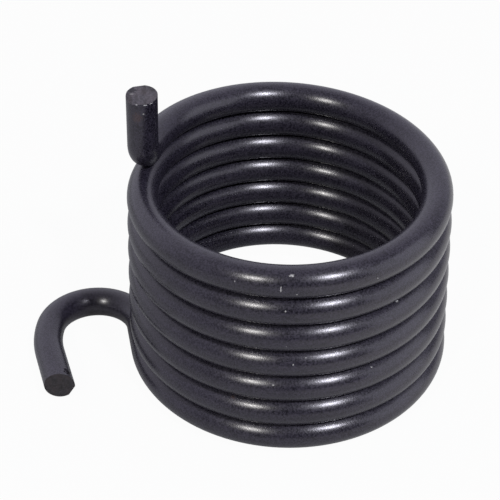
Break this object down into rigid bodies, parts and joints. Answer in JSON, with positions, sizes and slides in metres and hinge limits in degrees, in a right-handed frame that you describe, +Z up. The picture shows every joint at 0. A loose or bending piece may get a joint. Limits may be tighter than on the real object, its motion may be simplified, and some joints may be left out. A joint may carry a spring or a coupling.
{
  "type": "recoil starter torsion spring",
  "caption": "Close-wound torsion spring of round black steel wire, with a straight axial tang above the coil and an open hook leaving its lowest turn.",
  "frame": {"origin": "on the axis of the coil's open bore, under the centre of its top turn, in the plane that the lowest wire rests on", "axes": "+Z up along the coil axis towards the tang; -X towards the side where the hook leaves the coil; -Y towards the hook's open end"},
  "size_m": [0.057, 0.0437, 0.04],
  "materials": {
    "spring_steel": "satin"
  },
  "bodies": {
    "root": {"torsion_spring": "spring_steel"}
  },
  "joints": []
}
